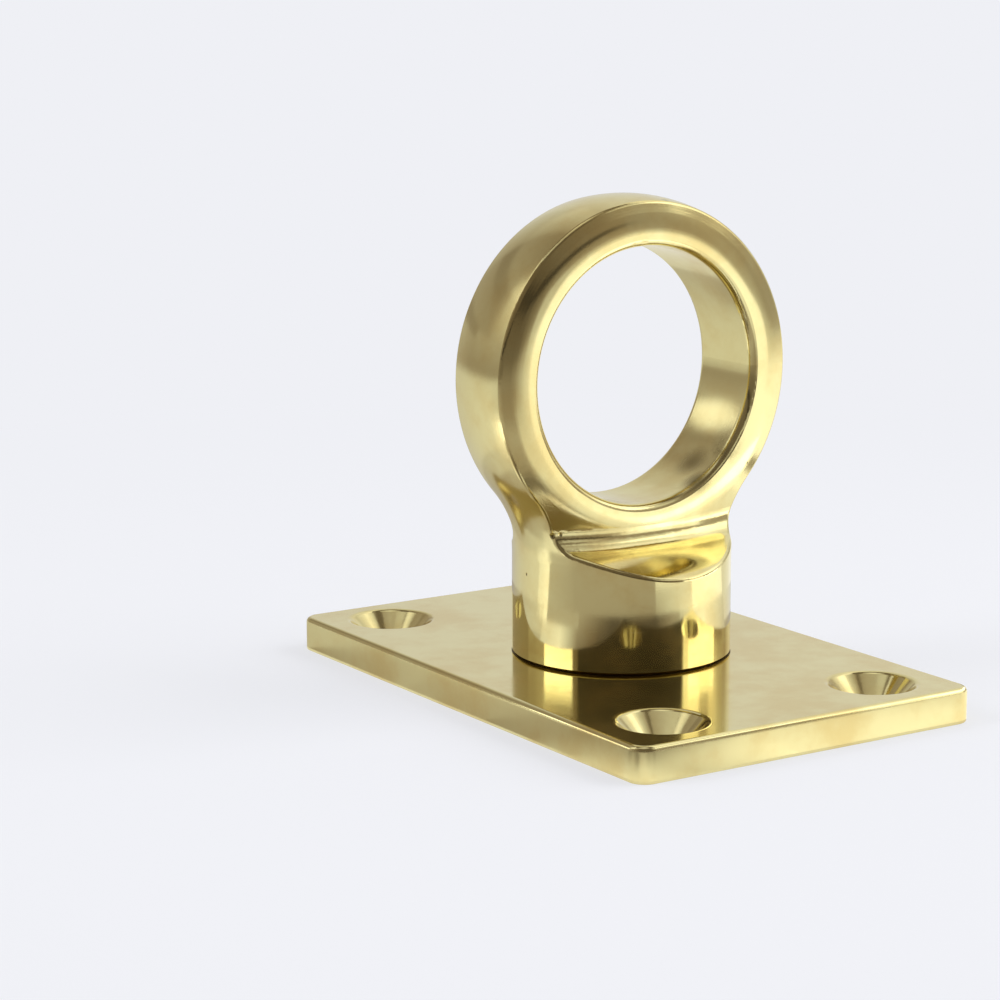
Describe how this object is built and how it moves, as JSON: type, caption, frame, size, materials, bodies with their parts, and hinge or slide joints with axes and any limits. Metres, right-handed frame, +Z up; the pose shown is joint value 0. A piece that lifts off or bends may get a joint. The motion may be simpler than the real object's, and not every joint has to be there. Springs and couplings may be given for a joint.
{
  "type": "rope guide",
  "caption": "Polished brass rope guide: a round eye with rounded edges on a short turned post, standing on a flat rectangular deck plate with countersunk fixing holes.",
  "frame": {"origin": "middle of the plate's underside, in the plane of the deck", "axes": "+Z up out of the deck, +Y along the eye's bore and the plate's long side, +X along the plate's short side"},
  "size_m": [0.045, 0.07, 0.0563],
  "materials": {
    "plate_brass": "satin polished plate, fine straight lapping marks on the top",
    "post_brass": "turned and buffed bright, fine turning marks round the stem and inside the bore",
    "screw_brass": "plain machined brass, hidden under the plate"
  },
  "bodies": {
    "root": {"base_plate": "plate_brass", "eye_post": "post_brass", "fixing_screw": "screw_brass"}
  },
  "joints": []
}
